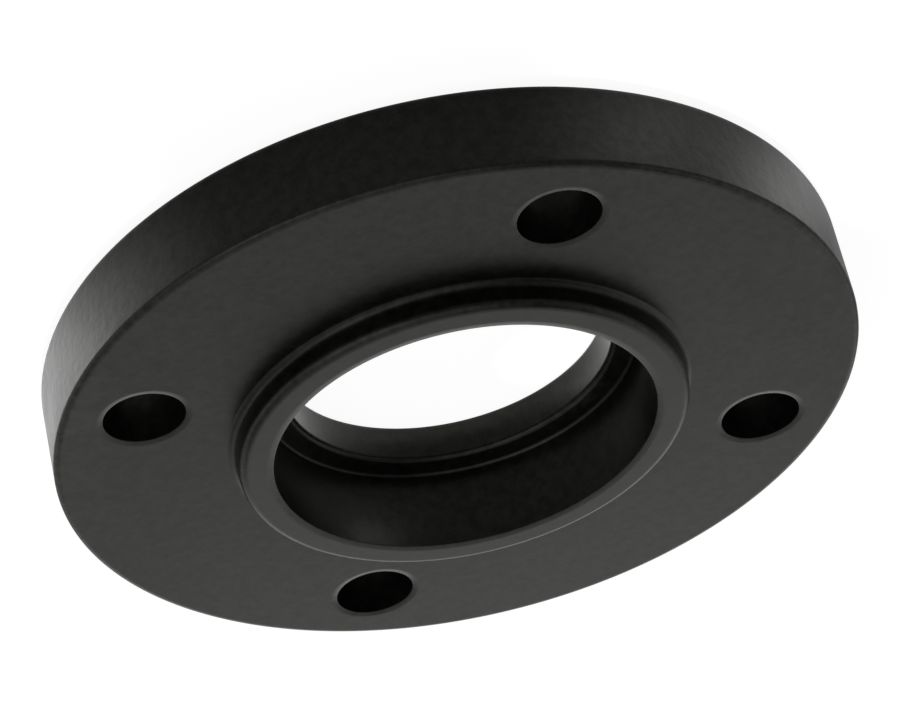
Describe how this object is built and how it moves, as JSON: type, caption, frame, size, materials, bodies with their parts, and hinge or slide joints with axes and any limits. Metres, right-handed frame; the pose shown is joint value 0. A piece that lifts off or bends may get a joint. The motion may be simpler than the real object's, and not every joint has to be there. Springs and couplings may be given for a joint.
{
  "type": "socket weld flange",
  "caption": "Round steel pipe flange with a raised gasket face, bolt holes round its rim, and a low hub whose stepped socket takes a pipe end for a fillet weld.",
  "frame": {"origin": "centre of the raised gasket face, on the flange's axis", "axes": "+Z along the bore axis from the gasket face to the hub; the bolt holes straddle +X and +Y, at 45 degrees to them"},
  "size_m": [0.1906, 0.1906, 0.0309],
  "materials": {
    "black_forged_steel": "satin black coating on turned forged steel, with a very fine grain"
  },
  "bodies": {
    "root": {"socket_weld_flange": "black_forged_steel"}
  },
  "joints": []
}
